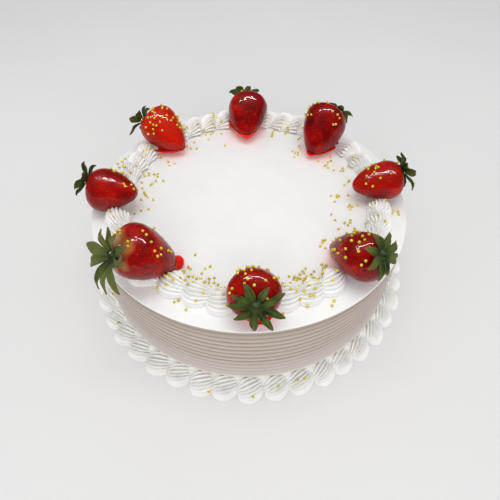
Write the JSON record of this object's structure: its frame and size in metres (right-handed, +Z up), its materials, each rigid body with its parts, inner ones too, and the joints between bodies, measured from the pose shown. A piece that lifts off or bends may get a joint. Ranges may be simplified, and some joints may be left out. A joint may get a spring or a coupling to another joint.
{
  "type": "vanilla sponge cake",
  "caption": "Round frosted vanilla sponge cake with combed sides, piped shell borders, glazed strawberries and gold sugar pearls.",
  "frame": {"origin": "centre of the cake's flat underside", "axes": "+Z up out of the cake's top, -Y towards the viewer of the picture, +X to the viewer's right"},
  "size_m": [0.2512, 0.2521, 0.1164],
  "materials": {
    "frosting": "satin",
    "strawberry": "gloss",
    "leaf": "matte",
    "sugar_pearl": "satin",
    "berry_glaze": "gloss"
  },
  "bodies": {
    "root": {"cake": "frosting", "border_after_front": "frosting", "border_after_front_right": "frosting", "border_after_right": "frosting", "border_after_back_right": "frosting", "border_after_back": "frosting", "border_after_back_left": "frosting", "border_after_left": "frosting", "border_after_front_left": "frosting", "foot_border": "frosting", "strawberry_front": "strawberry", "strawberry_front_right": "strawberry", "strawberry_right": "strawberry", "strawberry_back_right": "strawberry", "strawberry_back": "strawberry", "strawberry_back_left": "strawberry", "strawberry_left": "strawberry", "strawberry_front_left": "strawberry", "calyx_front": "leaf", "calyx_front_right": "leaf", "calyx_right": "leaf", "calyx_back_right": "leaf", "calyx_back": "leaf", "calyx_back_left": "leaf", "calyx_left": "leaf", "calyx_front_left": "leaf"}
  },
  "joints": []
}
